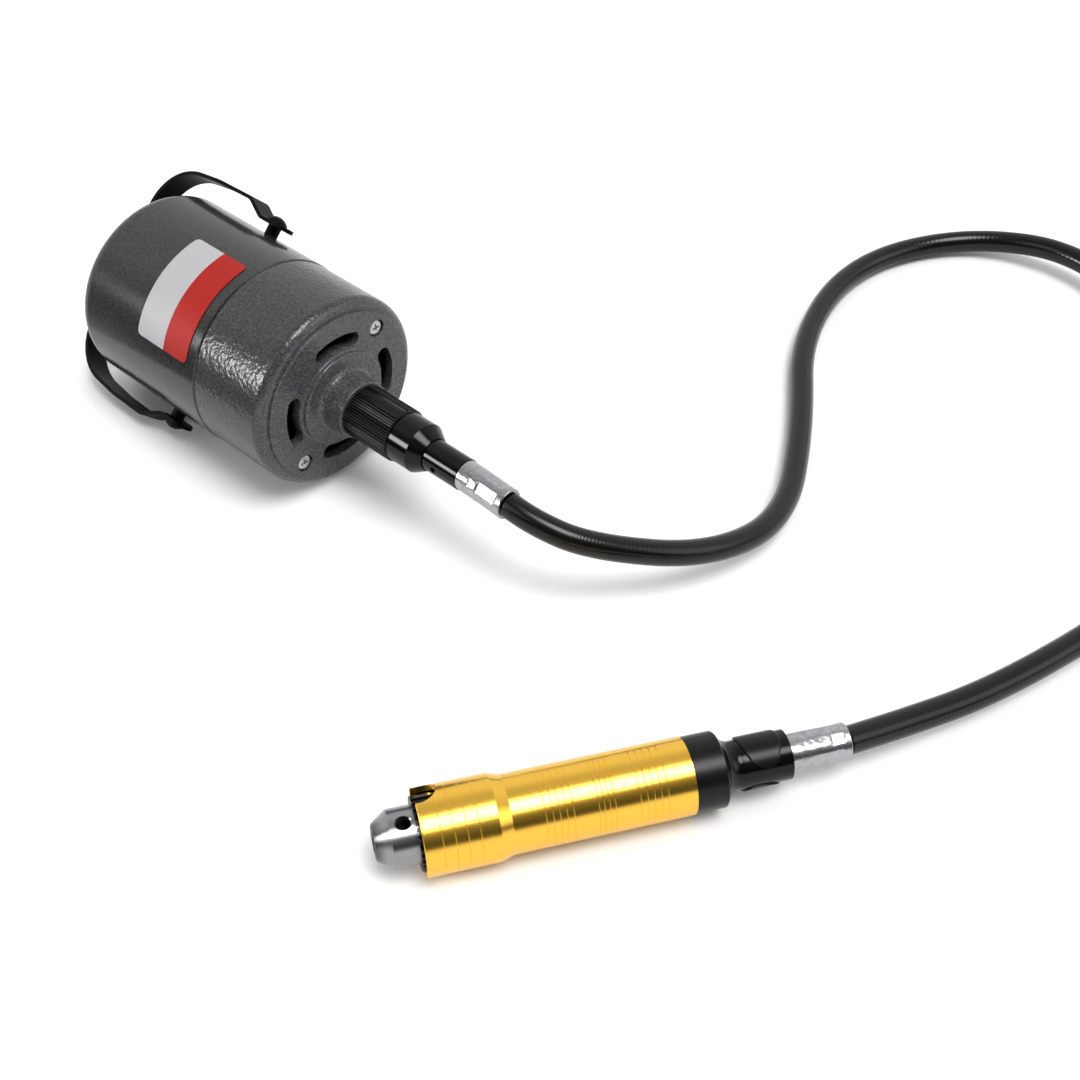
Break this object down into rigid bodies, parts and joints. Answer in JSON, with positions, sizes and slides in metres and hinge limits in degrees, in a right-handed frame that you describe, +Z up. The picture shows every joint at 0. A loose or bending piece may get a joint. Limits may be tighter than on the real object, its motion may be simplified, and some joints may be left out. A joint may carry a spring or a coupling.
{
  "type": "rotary tool with flex shaft",
  "caption": "Hanging rotary tool: hammertone motor on a swinging bail, flexible shaft, gold keyed-chuck handpiece",
  "frame": {"origin": "On the table, at the centre of the footprint of the motor and handpiece together, without the sheath.", "axes": "+Z up. +X along the motor's shaft, from the bail to the sheath, which is also the longest extent."},
  "size_m": [0.399, 0.4324, 0.0773],
  "materials": {
    "hammertone_paint": "hammertone, semi-gloss",
    "black_paint": "satin black",
    "black_anodised": "glossy black anodised",
    "bright_steel": "brushed",
    "hardened_steel": "dark hardened steel",
    "crimped_alloy": "bright, crimped",
    "gold_anodised": "polished gold anodised",
    "black_sheath": "glossy ribbed black",
    "rubber": "matte",
    "label_silver": "printed foil, bare",
    "lamination_steel": "stacked laminations",
    "copper_wire": "enamelled copper",
    "brass": "plain",
    "carbon": "pressed carbon",
    "fibre_board": "fibre board",
    "fan_plastic": "moulded"
  },
  "bodies": {
    "housing": {"front_end_bell": "hammertone_paint", "motor_shell": "hammertone_paint", "rear_cover": "hammertone_paint", "cord_grommet": "rubber", "label_plate": "label_silver", "bell_screws": "bright_steel", "stator_core": "lamination_steel", "field_coils": "copper_wire", "front_bearing": "bright_steel", "rear_bearing": "bright_steel", "brush_plate": "fibre_board", "brush_holders": "brass", "carbon_brushes": "carbon", "brush_springs": "bright_steel", "bail_screws": "black_paint", "bail_spacers": "black_paint", "shaft_spigot": "bright_steel", "hub_set_screw": "bright_steel", "sheath_adaptor": "black_anodised", "sheath_sleeve": "black_anodised", "motor_ferrule": "crimped_alloy", "flex_sheath": "black_sheath", "handpiece_ferrule": "crimped_alloy", "tail_socket": "black_anodised", "lock_leaves": "black_anodised", "tail_ring": "black_anodised", "grip_sleeve": "gold_anodised", "front_spindle_bearing": "bright_steel", "rear_spindle_bearing": "bright_steel"},
    "armature": {"armature_shaft": "bright_steel", "armature_core": "lamination_steel", "armature_windings": "copper_wire", "commutator": "copper_wire", "cooling_fan": "fan_plastic", "drive_socket": "bright_steel", "motor_drive_tip": "bright_steel"},
    "spindle": {"handpiece_spindle": "bright_steel", "chuck_body": "bright_steel", "handpiece_drive_tip": "bright_steel"},
    "ring": {"chuck_ring": "black_anodised", "split_nut": "hardened_steel"},
    "first_jaw": {"jaw_1": "hardened_steel"},
    "second_jaw": {"jaw_2": "hardened_steel"},
    "third_jaw": {"jaw_3": "hardened_steel"},
    "bail": {"hanging_bail": "black_paint"},
    "nut": {"coupling_nut": "black_anodised"}
  },
  "joints": [
    {"name": "armature_spin", "type": "hinge", "parent": "housing", "child": "armature", "pos_m": [-0.086, 0.0414, 0.0385], "axis": [1, 0, 0], "continuous": true},
    {"name": "spindle_spin", "type": "hinge", "parent": "housing", "child": "spindle", "pos_m": [0.1009, -0.0645, 0.01375], "axis": [-0.5388, -0.8425, 0], "continuous": true},
    {"name": "chuck_ring_turn", "type": "hinge", "parent": "spindle", "child": "ring", "pos_m": [0.1009, -0.0645, 0.01375], "axis": [-0.5388, -0.8425, 0], "range_deg": [-330, 2640]},
    {"name": "bail_swing", "type": "hinge", "parent": "housing", "child": "bail", "pos_m": [-0.115, 0.0414, 0.0385], "axis": [0, 0.7071, 0.7071], "range_deg": [-130, 130]},
    {"name": "coupling_nut_turn", "type": "hinge", "parent": "housing", "child": "nut", "pos_m": [-0.026, 0.0414, 0.0385], "axis": [1, 0, 0], "range_deg": [0, 1440]},
    {"name": "jaw_1_slide", "type": "slide", "parent": "spindle", "child": "first_jaw", "axis": [0.3534, 0.9206, 0.1664], "range_m": [-0.00115, 0.0092]},
    {"name": "jaw_2_slide", "type": "slide", "parent": "spindle", "child": "second_jaw", "axis": [0.4825, 0.838, -0.2549], "range_m": [-0.00115, 0.0092]},
    {"name": "jaw_3_slide", "type": "slide", "parent": "spindle", "child": "third_jaw", "axis": [0.7253, 0.6827, 0.0885], "range_m": [-0.00115, 0.0092]}
  ],
  "couplings": [
    {"joint": "spindle_spin", "follows": "armature_spin", "ratio": 1},
    {"joint": "jaw_1_slide", "follows": "chuck_ring_turn", "m_per_rad": 0.00019894},
    {"joint": "jaw_2_slide", "follows": "chuck_ring_turn", "m_per_rad": 0.00019894},
    {"joint": "jaw_3_slide", "follows": "chuck_ring_turn", "m_per_rad": 0.00019894}
  ]
}
